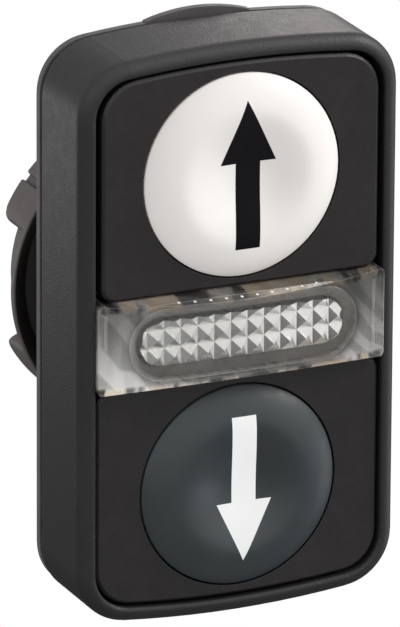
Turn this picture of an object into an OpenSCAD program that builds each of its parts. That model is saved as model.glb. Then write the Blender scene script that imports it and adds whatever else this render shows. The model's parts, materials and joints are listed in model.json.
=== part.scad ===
// Double push button head for a panel with a 22 mm hole: a white up button and a
// dark down button in one bezel, with a clear pilot light bar between them.
// The modules are drawn lying down, with Z the height in front of the panel and Y
// up the bezel. stand() turns each one upright, so the front faces -Y and Z is up.

/* [Bezel] */
// Width of the bezel
bezel_w = 30; // [28:0.5:34]
// Height of the bezel at its middle
bezel_h = 52; // [48:0.5:58]
// How far the top and bottom edges bow out
bezel_bow = 1.15; // [0.6:0.05:1.6]
// Corner radius of the bezel
bezel_r = 4.9; // [3.5:0.1:6]
// Height of the bezel's front above the panel
bezel_front = 10; // [9.5:0.1:12]
// Wall of the bezel, and the width of its front rim
rim_w = 1.4; // [1.2:0.1:2]
// Rounding of the rim's outer front edge
rim_round = 1.15; // [0.5:0.05:1.15]
// Rounding of the rim's inner front edge
rim_lip = 0.15; // [0.05:0.05:0.2]
// Chamfer on the bezel's rear edge
rear_chamfer = 0.15; // [0.05:0.05:0.3]

/* [Faceplates] */
// Gap between the upper faceplate and the rim at the sides
upper_side_gap = 0.58; // [0.2:0.02:0.8]
// Gap between the upper faceplate and the rim at the top
upper_end_gap = 0.25; // [0.1:0.05:0.5]
// How far the upper faceplate lies behind the rim's front
upper_sink = 0; // [0:0.1:0.3]
// Gap between the lower faceplate and the rim at the sides
lower_side_gap = 0.2; // [0.1:0.02:0.8]
// Gap between the lower faceplate and the rim at the bottom
lower_end_gap = 0.25; // [0.1:0.05:0.5]
// How far the lower faceplate lies behind the rim's front
lower_sink = 0.4; // [0:0.1:0.6]
// Thickness of a faceplate
plate_t = 1.2; // [1:0.1:1.5]
// Chamfer round a faceplate's front
plate_chamfer = 0.25; // [0.1:0.05:0.4]
// Radius of a faceplate's corners at the lens
plate_inner_r = 1.2; // [0.5:0.1:2]
// Gap between a faceplate and the lens
lens_gap = 0.06; // [0.04:0.02:0.1]
// Wall of the collar that guides a cap
collar_wall = 0.65; // [0.5:0.05:0.75]
// Gap between a collar and the lens
collar_lens_gap = 0.1; // [0.05:0.05:0.3]
// Gap between a collar and the end of the bezel
collar_end_gap = 0.45; // [0.35:0.05:0.8]

/* [Buttons] */
// Clearance round a cap
cap_gap = 0.15; // [0.1:0.01:0.2]
// Rounding of a cap's edge
cap_edge = 0.3; // [0.1:0.05:0.5]
// Height of the ring-shaped crest above the cap's edge
crest_h = 1.4; // [0.9:0.05:1.8]
// Width of the slope outside the crest
crest_slope = 3.95; // [3:0.05:5]
// Depth of the dish below the crest
dish_depth = 0.2; // [0.1:0.05:0.4]
// Thickness of an arrow moulded into a cap
arrow_t = 0.4; // [0.2:0.05:0.5]
// Length of an arrow
arrow_l = 13.3; // [11:0.1:14]
// Width of an arrow's shaft
arrow_shaft = 2.3; // [1.5:0.1:3]
// Width of an arrow's head
arrow_head_w = 5.2; // [4:0.1:6]
// Length of an arrow's head
arrow_head_l = 5.5; // [4:0.1:7]
// How far the upper arrow sits above its cap's centre
upper_arrow_up = 0.35; // [0:0.05:0.5]
// Wall of a cap's skirt
cap_wall = 1; // [0.8:0.1:1.4]
// Travel of a button
travel = 4.3; // [3.5:0.1:4.3]
// Space left under a carrier that is pressed right in
end_space = 0.15; // [0.1:0.05:0.3]

/* [Carriers and springs] */
// Distance of the carrying disc's edge from the cap's side
disc_in = 0.45; // [0.1:0.05:0.8]
// Thickness of the disc
disc_t = 0.9; // [0.7:0.1:1.2]
// Diameter of the pusher rod
rod_d = 3.2; // [2.6:0.1:3.4]
// Gap between a rod and the barrel's bore
rod_side_gap = 0.7; // [0.6:0.05:0.9]
// How far the rods stand out behind the guide disc
rod_out = 3; // [2:0.5:4]
// Running clearance of the rods in their guides
rod_gap = 0.05; // [0.03:0.01:0.08]
// Mean diameter of a return spring
spring_d = 5.8; // [5:0.1:6]
// Wire of a return spring
spring_wire = 0.4; // [0.3:0.05:0.45]
// Turns of a return spring
spring_turns = 4.5; // [4:0.5:4.5]
// Clearance round a spring in its cup
spring_gap = 0.4; // [0.2:0.05:0.5]
// Wall of the spring cup
cup_wall = 0.7; // [0.5:0.1:1]
// Depth of the spring cup above the disc's rear face
cup_depth = 2.3; // [2.1:0.05:2.5]
// Top of the spring cup
cup_top = 0.5; // [0.4:0.1:0.6]

/* [Pilot light] */
// Height of the lens where it leaves the rim
lens_h = 8.3; // [8:0.1:8.4]
// Gap between the ends of the lens and the rim
lens_end_gap = 0.05; // [0.03:0.01:0.1]
// How far the ends of the lens stand in front of the rim
lens_end_rise = 0.3; // [0.1:0.1:0.5]
// How far the middle of the lens bows out beyond its ends
lens_bow = 1.6; // [0.8:0.1:2]
// Slope of the lens's top and bottom faces, as a share of the height
lens_draft = 0.315; // [0.2:0.005:0.36]
// Distance of the slots in the lens's rear from its ends
slot_in = 0.8; // [0.6:0.05:1.2]
// Width of those slots
slot_w = 0.3; // [0.2:0.05:0.4]
// Height of those slots
slot_h = 6; // [4:0.2:7]
// Front of those slots, behind the rim's front
slot_back = 0.4; // [0.2:0.1:1]
// Corner radius of the lens
lens_r = 0.6; // [0.3:0.1:1]
// Length of the prism field
prism_w = 19; // [17:0.5:20]
// Height of the prism field
prism_h = 4.1; // [3.6:0.1:4.4]
// Pitch of the prisms along the field
prism_pitch = 1.54; // [1.3:0.02:2]
// Pitch of the prisms up the field
prism_row = 1.65; // [1.3:0.05:2]
// How far the grid of prisms is shifted to the right
prism_right = 0.42; // [-0.6:0.02:0.6]
// How far the grid of prisms is shifted up
prism_up = -0.43; // [-0.6:0.01:0.6]
// Height of one prism
prism_rise = 0.45; // [0.3:0.05:0.6]
// Width of the flat on a prism's tip
prism_flat = 0.04; // [0.02:0.02:0.1]
// Height of the prism tips above the rim's front
prism_front = 0.4; // [0.2:0.05:0.45]
// Gap between the prism tips and the lens
prism_gap = 0.1; // [0.05:0.05:0.15]
// Gap between the light guide and its baffle
guide_gap = 0.2; // [0.1:0.05:0.25]
// Wall of the baffle
baffle_wall = 0.95; // [0.7:0.05:1]
// Gap between the baffle and the lens or the tower
baffle_gap = 0.1; // [0.05:0.01:0.12]
// How far the baffle's front lies behind the prism tips
baffle_back = 0.8; // [0.5:0.1:1.5]
// Diameter of the light guide's stem
stem_d = 6.6; // [5:0.1:6.8]
// Clearance round the stem
stem_gap = 0.1; // [0.05:0.05:0.15]
// Half length of the light guide's foot, between its end rounds
foot_x = 4.6; // [3.5:0.1:6]
// Height of the light guide's widening above the base plate
foot_h = 2.8; // [2:0.1:4]
// How far the stem reaches behind the panel's face
stem_back = 4; // [2:0.5:6]

/* [Base and seals] */
// Thickness of the base plate
base_t = 0.8; // [0.6:0.1:1]
// Height of the lens's tower above the base plate
tower_h = 4; // [3.5:0.1:4.2]
// How far the tower's ends lie inside the bezel's wall
tower_inset = 0.4; // [0.2:0.1:1]
// Thickness of the seal under the lens
lens_seal_t = 0.6; // [0.4:0.1:0.8]
// Thickness of the panel gasket
gasket_t = 0.7; // [0.5:0.1:1]
// Height of the groove between the gasket and the bezel
groove_h = 0.7; // [0.5:0.1:1]
// Depth of that groove, from the bezel's side
groove_d = 0.9; // [0.6:0.1:1.1]
// How far the gasket's edge lies inside the bezel's side
gasket_inset = 0.15; // [0:0.05:0.4]
// Width of the locating tab on top of the gasket
tab_w = 9.8; // [6:0.2:12]
// Height of the locating tab
tab_h = 0.75; // [0.3:0.05:1]
// Wall of a rod seal's foot
seal_wall = 0.85; // [0.6:0.05:0.9]
// Wall of a rod seal's lip
lip_wall = 0.4; // [0.3:0.05:0.4]
// How far a rod seal's lip reaches behind the base plate
lip_h = 0.8; // [0.5:0.1:1]
// Height of the stub inside a spring's foot
stub_h = 0.5; // [0.3:0.1:0.8]

/* [Barrel and nut] */
// Diameter of the plain neck in the panel's hole
neck_d = 22; // [21.8:0.1:22.2]
// Length of the neck behind the panel's face
neck_l = 3; // [2:0.5:4]
// Step down from the neck to the thread and to the root inside the base plate
neck_step = 0.3; // [0.2:0.05:0.5]
// Length of the threaded stretch
thread_l = 9.6; // [9.4:0.2:12]
// Step down from the thread to the spigot that takes the rear collar
spigot_step = 0.5; // [0.3:0.1:0.6]
// Length of the spigot
spigot_l = 2.5; // [2.1:0.1:4]
// Chamfer at the end of the spigot
spigot_chamfer = 0.4; // [0.2:0.1:0.4]
// Wall of the barrel at the thread
barrel_wall = 1.4; // [1.3:0.05:1.8]
// Width of the keyway
key_w = 3.2; // [2:0.1:4]
// Depth of the keyway
key_d = 0.6; // [0.4:0.1:0.8]
// Width of the ledge that the guide disc sits on
guide_ledge = 0.2; // [0.1:0.05:0.3]
// How far the guide disc's front reaches into the thread's stretch
guide_in = 0.4; // [0.2:0.1:0.6]
// Thickness of the guide disc
guide_t = 2; // [1.5:0.1:2.5]
// Web between the guide disc's socket and a rod
socket_web = 0.8; // [0.7:0.05:1.2]
// Thickness of a rod clip
clip_t = 0.5; // [0.3:0.1:0.6]
// How far a rod clip stands out of the rod
clip_lip = 0.6; // [0.4:0.05:0.7]
// Depth of the groove that holds a clip
clip_groove = 0.4; // [0.3:0.05:0.5]
// Gap between a clip and the guide disc
clip_gap = 0.1; // [0.05:0.05:0.15]
// Distance from the panel's face to the nut
nut_back = 6.8; // [4.5:0.1:9]
// Length of the nut
nut_l = 5.6; // [4.6:0.1:7]
// How far the nut's flange reaches beyond the neck
flange_reach = 3.05; // [2.9:0.05:3.6]
// Thickness of the flange at its edge
flange_t = 0.7; // [0.6:0.1:1]
// Length of the cone behind the flange
flange_cone = 1.8; // [1.6:0.1:2]
// Wall of the nut's core between the lugs
core_wall = 1.2; // [1:0.05:1.5]
// Step from the flange down to the lugs' rear end
lug_step = 0.1; // [0.1:0.05:0.6]
// Number of lugs
lugs = 4; // [3:1:5]
// Angle that one lug takes up
lug_angle = 43.5; // [30:0.5:46]
// Direction of one lug's middle
lug_turn = 136.25; // [0:0.25:180]
// Chamfer at the lugs' rear edge
lug_chamfer = 0.4; // [0.2:0.1:0.6]
// Rounding of the lugs' rear corners
lug_corner = 1.5; // [0.6:0.1:1.8]
// Width of the groove along a lug
lug_groove_w = 0.7; // [0.5:0.1:1.5]
// Angle from a lug's middle to its groove
lug_groove_turn = 4.15; // [-8:0.05:8]
// Depth of the groove along a lug
lug_groove_d = 0.4; // [0.2:0.1:0.6]
// Wall round the dish in the nut's front
dish_wall = 0.15; // [0.15:0.05:0.4]
// Width of the dish's sloping side
dish_side = 1.6; // [1.4:0.1:1.7]
// Depth of the dish
dish_d = 1.6; // [1.4:0.1:1.7]
// How far a lug's foot reaches into the core, and its corner cuts stay off it
lug_foot = 0.2; // [0.1:0.05:0.3]
// Clearance of the nut on the thread
nut_gap = 0.05; // [0.03:0.01:0.1]
// Clearance of the gasket's hole round the neck
gasket_gap = 0.05; // [0.02:0.01:0.2]

/* [Hidden] */
$fn = 96;
end_fn = 540;
hull_fn = 32;
eps = 0.01;
// Corner pieces lie this far inside the surface and run on by this angle, so that
// they cross their neighbours instead of only touching them
corner_step = 0.01;
corner_run = 1;
spring_sides = 8;
spring_steps = 20;

// Heights in front of the panel
bezel_rear = gasket_t + groove_h;
base_front = bezel_rear + base_t;
carrier_z = base_front + travel + end_space;
cap_seat = carrier_z + disc_t;
cup_z = carrier_z + cup_depth;
upper_front = bezel_front - upper_sink;
lower_front = bezel_front - lower_sink;
tower_top = base_front + tower_h;
lens_rear = tower_top + lens_seal_t;
lens_edge = bezel_front + lens_end_rise;
prism_tip = bezel_front + prism_front;
prism_base = prism_tip - prism_rise;
pocket_front = prism_tip + prism_gap;
baffle_front = prism_tip - baffle_back;
thread_end = -neck_l - thread_l;
barrel_end = thread_end - spigot_l - spigot_chamfer;
guide_z = thread_end + guide_in;
rod_end = guide_z - guide_t - rod_out;
clip_z = guide_z - guide_t - clip_gap - clip_t;

// Half sizes and radii of the front
half_w = bezel_w / 2;
half_h = bezel_h / 2;
in_w = half_w - rim_w;
in_h = half_h - rim_w;
lens_half = lens_h / 2;
collar_low = lens_half + collar_lens_gap;
collar_r = (in_h - collar_end_gap - collar_low) / 2;
cap_y = collar_low + collar_r;
bore_r = collar_r - collar_wall;
cap_r = bore_r - cap_gap;
crest_r = cap_r - crest_slope;

// Radii of the barrel and of what it holds
neck_r = neck_d / 2;
thread_r = neck_r - neck_step;
spigot_r = thread_r - spigot_step;
barrel_r = thread_r - barrel_wall;
guide_r = barrel_r + guide_ledge;
rod_r = rod_d / 2;
rod_y = barrel_r - rod_side_gap - rod_r;
seal_r = rod_r + rod_gap + seal_wall;
socket_r = rod_y - rod_r - socket_web;
clip_r = rod_r + clip_lip;
nut_bore = thread_r + nut_gap;
nut_rim = neck_r + flange_reach;
nut_core = nut_bore + core_wall;
lug_r = nut_rim - lug_step;
lens_w = in_w - lens_end_gap;
prism_r = prism_h / 2;
prism_x = prism_w / 2 - prism_r;
baffle_in = prism_r + guide_gap;
baffle_out = baffle_in + baffle_wall;
pocket_r = baffle_out + baffle_gap;
spring_cup_r = spring_d / 2 + spring_wire / 2 + spring_gap;

// Radius of an arc over a half chord w with rise b
function arc_r(w, b) = (w * w + b * b) / (2 * b);

// Centre height of a round r that joins a side at w and an arc of radius big with its top at h
function corner_y(w, h, big, r) = h - big + sqrt(pow(big - r, 2) - pow(w - r, 2));

// Direction in which that round meets the arc
function corner_angle(w, h, big, r) = atan2(corner_y(w, h, big, r) - h + big, w - r);

end_arc = arc_r(half_w, bezel_bow);

module stand() {
    rotate([90, 0, 0]) children();
}

// The four quarters of a part that is drawn in one
module quarters() {
    for (mx = [0, 1], my = [0, 1])
        mirror([mx, 0, 0]) mirror([0, my, 0]) children();
}

// The lower button's parts are the upper ones turned half round
module lower() {
    rotate([0, 0, 180]) children();
}

// Outline with straight sides, ends on arcs of radius big and corners of radius r
module bowed_outline(hw, hh, big, r) {
    cy = corner_y(hw, hh, big, r);
    turn = corner_angle(hw, hh, big, r);
    far = 3 * r;
    difference() {
        intersection() {
            translate([-hw, -hh]) square([2 * hw, 2 * hh]);
            translate([0, hh - big]) circle(big, $fn = end_fn);
            translate([0, big - hh]) circle(big, $fn = end_fn);
        }
        for (mx = [0, 1], my = [0, 1])
            mirror([mx, 0]) mirror([0, my]) translate([hw - r, cy])
                polygon([[0, 0], [far, 0], [far, far], [far * cos(turn), far * sin(turn)]]);
    }
    for (mx = [0, 1], my = [0, 1])
        mirror([mx, 0]) mirror([0, my]) translate([hw - r, cy]) circle(r - corner_step);
}

// Runs a wall section round the outline: x is the depth from the outer side, y the height.
// The first child is the section of the sides and ends, the second that of the corners
module sweep_wall(hw, hh, big, r) {
    cy = corner_y(hw, hh, big, r);
    turn = corner_angle(hw, hh, big, r);
    for (mx = [0, 1])
        mirror([mx, 0, 0]) translate([hw, 0, 0]) rotate([90, 0, 0])
            linear_extrude(2 * cy, center = true) mirror([1, 0]) children(0);
    quarters() translate([hw - r, cy, 0]) rotate([0, 0, -corner_run])
        rotate_extrude(angle = turn + 2 * corner_run)
            translate([r, 0]) mirror([1, 0]) children(1);
    for (my = [0, 1])
        mirror([0, my, 0]) translate([0, hh - big, 0]) rotate([0, 0, turn])
            rotate_extrude(angle = 180 - 2 * turn, $fn = end_fn)
                translate([big, 0]) mirror([1, 0]) children(0);
}

module stadium(x, r) {
    translate([-x, -r]) square([2 * x, 2 * r]);
    for (s = [-1, 1]) translate([s * x, 0]) circle(r);
}

// Section of the bezel's wall, moved inwards by a step
module bezel_section(step) {
    top = bezel_front - step;
    shoulder = top - rim_round;
    lip = rim_lip + step;
    difference() {
        union() {
            translate([step, bezel_rear]) square([rim_w, shoulder - bezel_rear]);
            translate([step + rim_round, shoulder - eps])
                square([rim_w - rim_round, rim_round + eps]);
            intersection() {
                translate([step + rim_round, shoulder]) circle(rim_round);
                translate([step, shoulder - eps]) square([rim_round + eps, rim_round + eps]);
            }
        }
        polygon([[step - eps, bezel_rear - eps], [step + rear_chamfer, bezel_rear - eps],
            [step - eps, bezel_rear + rear_chamfer]]);
        polygon([[step + rim_w + eps, top + eps], [step + rim_w - lip, top + eps],
            [step + rim_w + eps, top - lip]]);
    }
}

module bezel() {
    color("#37363a") stand() sweep_wall(half_w, half_h, end_arc, bezel_r) {
        bezel_section(0);
        bezel_section(corner_step);
    }
}

// Outline of the upper faceplate: bowed at the top and cut off straight above the lens
module plate_outline(side_gap, end_gap, inset) {
    hw = in_w - side_gap - inset;
    hh = in_h - end_gap - inset;
    r = bezel_r - rim_w - inset;
    low = lens_half + lens_gap + inset;
    c = plate_inner_r - inset;
    difference() {
        bowed_outline(hw, hh, end_arc - rim_w - end_gap - inset, r, $fn = hull_fn);
        translate([-half_w, low - bezel_h]) square([bezel_w, bezel_h]);
        for (m = [0, 1]) mirror([m, 0]) translate([hw - c, low]) difference() {
            translate([0, -eps]) square([c + eps, c + eps]);
            translate([0, c]) circle(c, $fn = hull_fn);
        }
    }
}

module faceplate(side_gap, end_gap, front) {
    difference() {
        union() {
            hull() {
                translate([0, 0, front - plate_t])
                    linear_extrude(plate_t - plate_chamfer) plate_outline(side_gap, end_gap, 0);
                translate([0, 0, front - plate_t])
                    linear_extrude(plate_t) plate_outline(side_gap, end_gap, plate_chamfer);
            }
            translate([0, cap_y, base_front])
                cylinder(h = front - plate_t / 2 - base_front, r = collar_r);
        }
        translate([0, cap_y, base_front - eps])
            cylinder(h = front, r = bore_r);
    }
}

module upper_faceplate() {
    color("#333134") stand() faceplate(upper_side_gap, upper_end_gap, upper_front);
}

module lower_faceplate() {
    color("#2f2d2f") stand() lower() faceplate(lower_side_gap, lower_end_gap, lower_front);
}

// Half section of a cap's outside: a dish, a crest and a slope with a round edge
module cap_section(front) {
    mid = crest_r / 2;
    dish_arc = arc_r(mid, dish_depth / 2);
    slope_arc = arc_r(cap_r - crest_r, crest_h);
    turn = corner_angle(cap_r - crest_r, crest_h, slope_arc, cap_edge);
    edge_y = corner_y(cap_r - crest_r, crest_h, slope_arc, cap_edge);
    far = 3 * cap_edge;
    low = cap_seat - front;
    translate([0, front]) {
        difference() {
            translate([0, low]) square([mid, crest_h - low]);
            translate([0, crest_h - dish_depth + dish_arc]) circle(dish_arc);
        }
        intersection() {
            translate([mid, low]) square([crest_r - mid, crest_h - low]);
            translate([crest_r, crest_h - dish_arc]) circle(dish_arc);
        }
        translate([crest_r, 0]) difference() {
            intersection() {
                translate([0, low]) square([cap_r - crest_r, crest_h - low]);
                union() {
                    translate([0, crest_h - slope_arc]) circle(slope_arc);
                    translate([0, low]) square([cap_r - crest_r, edge_y - low]);
                }
            }
            translate([cap_r - crest_r - cap_edge, edge_y])
                polygon([[0, 0], [far, 0], [far, far], [far * cos(turn), far * sin(turn)]]);
        }
        translate([cap_r - cap_edge, edge_y]) circle(cap_edge - corner_step);
    }
}

module cap_body(front) {
    rotate_extrude() cap_section(front);
}

module arrow_shape() {
    tip = arrow_l / 2;
    neck = tip - arrow_head_l;
    half = arrow_shaft / 2;
    polygon([[-half, -tip], [half, -tip], [half, neck], [arrow_head_w / 2, neck], [0, tip],
        [-arrow_head_w / 2, neck], [-half, neck]]);
}

// The arrow's layer of a cap, as deep as arrow_t below the cap's face
module arrow(front, up) {
    translate([0, cap_y, 0]) difference() {
        intersection() {
            cap_body(front);
            translate([0, up, front]) linear_extrude(crest_h + eps) arrow_shape();
        }
        translate([0, 0, -arrow_t]) cap_body(front);
    }
}

// A cap: hollow behind, with its arrow's layer left out
module cap(front, up) {
    difference() {
        translate([0, cap_y, 0]) cap_body(front);
        translate([0, cap_y, cap_seat - eps])
            cylinder(h = cup_z + cup_top - cap_seat + eps, r = cap_r - cap_wall);
        arrow(front, up);
    }
}

module upper_button_cap() {
    color("#f4f1ec") stand() cap(upper_front, upper_arrow_up);
}

module lower_button_cap() {
    color("#434b4f") stand() lower() cap(lower_front, 0);
}

module upper_arrow() {
    color("#161616") stand() arrow(upper_front, upper_arrow_up);
}

module lower_arrow() {
    color("#efede9") stand() lower() arrow(lower_front, 0);
}

// The moving frame under a cap: disc, spring cup and pusher rod
module carrier() {
    difference() {
        union() {
            translate([0, cap_y, carrier_z]) cylinder(h = disc_t, r = cap_r - disc_in);
            translate([0, cap_y, carrier_z])
                cylinder(h = cup_depth + cup_top, r = spring_cup_r + cup_wall);
            translate([0, rod_y, rod_end]) cylinder(h = carrier_z - rod_end + eps, r = rod_r);
        }
        translate([0, cap_y, carrier_z - eps]) cylinder(h = cup_depth + eps, r = spring_cup_r);
        translate([0, rod_y, clip_z]) difference() {
            cylinder(h = clip_t, r = rod_r + eps);
            cylinder(h = clip_t, r = rod_r - clip_groove);
        }
    }
}

module upper_carrier() {
    color("#26282b") stand() carrier();
}

module lower_carrier() {
    color("#26282b") stand() lower() carrier();
}

// Axial place of the wire's centre after a share t of the turns, with closed ends
function wire_z(t, length, turns) =
    let (dead = 0.75, n = t * turns, w = spring_wire, mid = turns - 2 * dead,
        rise = length - w - 2 * dead * w)
    n < dead ? w / 2 + n * w
    : n > turns - dead ? length - w / 2 - (turns - n) * w
    : w / 2 + dead * w + (n - dead) / mid * rise;

module coil_spring(length) {
    n = round(spring_turns * spring_steps);
    points = [for (i = [0 : n], j = [0 : spring_sides - 1])
        let (a = 360 * spring_turns * i / n, b = 360 * j / spring_sides,
            rr = spring_d / 2 + spring_wire / 2 * cos(b))
            [rr * cos(a), rr * sin(a),
             wire_z(i / n, length, spring_turns) + spring_wire / 2 * sin(b)]];
    sides = [for (i = [0 : n - 1], j = [0 : spring_sides - 1])
        let (k = (j + 1) % spring_sides, p = i * spring_sides, q = p + spring_sides)
            [p + j, p + k, q + k, q + j]];
    first = [for (j = [spring_sides - 1 : -1 : 0]) j];
    last = [for (j = [0 : spring_sides - 1]) n * spring_sides + j];
    polyhedron(points, concat(sides, [first, last]));
}

module return_spring() {
    translate([0, cap_y, base_front]) coil_spring(cup_z - base_front);
}

module upper_return_spring() {
    color("silver") stand() return_spring();
}

module lower_return_spring() {
    color("silver") stand() lower() return_spring();
}

module rod_seal() {
    translate([0, rod_y, bezel_rear]) difference() {
        union() {
            cylinder(h = base_t, r = seal_r);
            translate([0, 0, -lip_h])
                cylinder(h = lip_h + eps, r = rod_r + rod_gap + lip_wall);
        }
        translate([0, 0, -lip_h - eps])
            cylinder(h = base_t + lip_h + 2 * eps, r = rod_r + rod_gap);
    }
}

module upper_rod_seal() {
    color("#1c1c1e") stand() rod_seal();
}

module lower_rod_seal() {
    color("#1c1c1e") stand() lower() rod_seal();
}

// Clip in the rod's groove, open on one side
module rod_clip() {
    translate([0, rod_y, clip_z]) difference() {
        cylinder(h = clip_t, r = clip_r);
        translate([0, 0, -eps]) cylinder(h = clip_t + 2 * eps, r = rod_r - clip_groove);
        translate([0, clip_groove - rod_r, -eps])
            cube([2 * clip_r, 2 * (rod_r - clip_groove), clip_t + 2 * eps]);
    }
}

module upper_rod_clip() {
    color("#8d9095") stand() rod_clip();
}

module lower_rod_clip() {
    color("#8d9095") stand() lower() rod_clip();
}

// Lens seen from above: straight back, bowed front
module lens_plan() {
    big = arc_r(lens_w, lens_bow);
    intersection() {
        translate([-lens_w, lens_rear])
            square([2 * lens_w, lens_edge + lens_bow - lens_rear]);
        translate([0, lens_edge + lens_bow - big]) circle(big, $fn = end_fn);
    }
}

// Lens seen from the side: the top and bottom lean in where it stands out of the rim
module lens_side() {
    rise = lens_edge + lens_bow + eps - bezel_front;
    polygon([[-lens_half, lens_rear], [lens_half, lens_rear], [lens_half, bezel_front],
        [lens_half - rise * lens_draft, bezel_front + rise],
        [rise * lens_draft - lens_half, bezel_front + rise], [-lens_half, bezel_front]]);
}

module lens() {
    color("#d8d8d6") stand() difference() {
        intersection() {
            translate([0, lens_half, 0]) rotate([90, 0, 0])
                linear_extrude(lens_h) lens_plan();
            translate([-lens_w, 0, 0]) rotate([90, 0, 90])
                linear_extrude(2 * lens_w) lens_side();
            translate([0, 0, lens_rear]) linear_extrude(bezel_front) lens_corners();
        }
        translate([0, 0, lens_rear - eps])
            linear_extrude(pocket_front - lens_rear + eps) stadium(prism_x, pocket_r);
        for (m = [0, 1]) mirror([m, 0, 0])
            translate([lens_w - slot_in - slot_w, -slot_h / 2, lens_rear - eps])
                cube([slot_w, slot_h, bezel_front - slot_back - lens_rear + eps]);
    }
}

module lens_corners() {
    x = lens_w - lens_r;
    y = lens_half - lens_r;
    translate([-lens_w, -y]) square([2 * lens_w, 2 * y]);
    translate([-x, -lens_half]) square([2 * x, lens_h]);
    for (sx = [-1, 1], sy = [-1, 1]) translate([sx * x, sy * y]) circle(lens_r);
}

// One V groove between two rows of prisms, along Y, with a small flat left on the tips
module prism_groove(length, pitch) {
    half = pitch / 2 - prism_flat / 2;
    k = (prism_rise + eps) / prism_rise;
    rotate([90, 0, 0]) linear_extrude(length, center = true)
        polygon([[0, 0], [k * half, k * prism_rise], [-k * half, k * prism_rise]]);
}

module light_guide() {
    foot_top = base_front + foot_h;
    nx = ceil(prism_w / 2 / prism_pitch);
    ny = ceil(prism_h / 2 / prism_row);
    color("#c9ccce") stand() {
        difference() {
            translate([0, 0, foot_top - eps])
                linear_extrude(prism_tip - foot_top + eps) stadium(prism_x, prism_r);
            for (i = [-nx : nx]) translate([prism_right + i * prism_pitch, 0, prism_base])
                prism_groove(2 * prism_h, prism_pitch);
            for (j = [-ny : ny]) translate([0, prism_up + j * prism_row, prism_base])
                rotate([0, 0, 90]) prism_groove(2 * prism_w, prism_row);
        }
        hull() {
            translate([0, 0, foot_top - eps]) linear_extrude(eps)
                stadium(prism_x, prism_r, $fn = hull_fn);
            translate([0, 0, base_front]) linear_extrude(eps)
                stadium(foot_x, prism_r, $fn = hull_fn);
        }
        translate([0, 0, -stem_back]) cylinder(h = base_front + stem_back + eps, d = stem_d);
    }
}

module light_baffle() {
    color("#6d6a66") stand() translate([0, 0, base_front])
        linear_extrude(baffle_front - base_front) difference() {
            stadium(prism_x, baffle_out);
            stadium(prism_x, baffle_in);
        }
}

// Section of the tower that carries the lens, and of the seal on it
module tower_ring() {
    x = in_w - tower_inset;
    difference() {
        translate([-x, -lens_half + tower_inset / 2])
            square([2 * x, lens_h - tower_inset]);
        stadium(prism_x, pocket_r);
    }
}

module lens_seal() {
    color("#1c1c1e") stand() translate([0, 0, tower_top]) linear_extrude(lens_seal_t) tower_ring();
}

module base_plate() {
    color("#2a2a2c") stand() difference() {
        union() {
            translate([0, 0, bezel_rear]) linear_extrude(base_t)
                bowed_outline(in_w, in_h, end_arc - rim_w, bezel_r - rim_w);
            translate([0, 0, gasket_t]) linear_extrude(groove_h) difference() {
                bowed_outline(half_w - groove_d, half_h - groove_d, end_arc - groove_d,
                    bezel_r - groove_d);
                circle(thread_r);
            }
            translate([0, 0, base_front]) linear_extrude(tower_h) tower_ring();
            for (s = [-1, 1]) translate([0, s * cap_y, base_front])
                cylinder(h = stub_h, r = spring_d / 2 - spring_wire - spring_gap / 2);
        }
        translate([0, 0, bezel_rear - eps])
            cylinder(h = base_t + 2 * eps, r = stem_d / 2 + stem_gap);
        for (s = [-1, 1]) translate([0, s * rod_y, bezel_rear - eps])
            cylinder(h = base_t + 2 * eps, r = seal_r);
    }
}

// Gasket under the head, with a rounded tab in the middle of its top edge
module panel_gasket() {
    hh = half_h - gasket_inset;
    tab_r = arc_r(tab_w / 2, tab_h);
    color("#4a4745") stand() difference() {
        union() {
            linear_extrude(gasket_t) bowed_outline(half_w - gasket_inset, hh,
                end_arc - gasket_inset, bezel_r - gasket_inset);
            linear_extrude(gasket_t) intersection() {
                translate([0, hh + tab_h - tab_r]) circle(tab_r);
                translate([-tab_w / 2, hh - tab_h]) square([tab_w, 2 * tab_h]);
            }
        }
        translate([0, 0, -eps])
            cylinder(h = gasket_t + 2 * eps, r = neck_r + gasket_gap);
    }
}

module barrel() {
    color("#2a2a2c") stand() difference() {
        union() {
            cylinder(h = bezel_rear, r = thread_r);
            translate([0, 0, -neck_l]) cylinder(h = neck_l, r = neck_r);
            translate([0, 0, thread_end]) cylinder(h = thread_l, r = thread_r);
            translate([0, 0, thread_end - spigot_l]) cylinder(h = spigot_l, r = spigot_r);
            translate([0, 0, barrel_end])
                cylinder(h = spigot_chamfer, r1 = spigot_r - spigot_chamfer, r2 = spigot_r);
        }
        translate([0, 0, barrel_end - eps])
            cylinder(h = bezel_rear - barrel_end + 2 * eps, r = barrel_r);
        translate([0, 0, barrel_end - eps])
            cylinder(h = guide_z - barrel_end + eps, r = guide_r);
        translate([-key_w / 2, thread_r - key_d, thread_end - eps])
            cube([key_w, neck_r, thread_l + neck_l + eps]);
    }
}

module guide_disc() {
    color("#3a3a3d") stand() translate([0, 0, guide_z - guide_t]) difference() {
        cylinder(h = guide_t, r = guide_r);
        translate([0, 0, -eps]) cylinder(h = guide_t + 2 * eps, r = socket_r);
        for (s = [-1, 1]) translate([0, s * rod_y, -eps])
            cylinder(h = guide_t + 2 * eps, r = rod_r + rod_gap);
    }
}

// What a round of radius r cuts off a corner, reaching a little past both sides
module corner_cut(r) {
    difference() {
        translate([0, -2 * r]) square([2 * r, 2 * r]);
        circle(r);
    }
}

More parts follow.
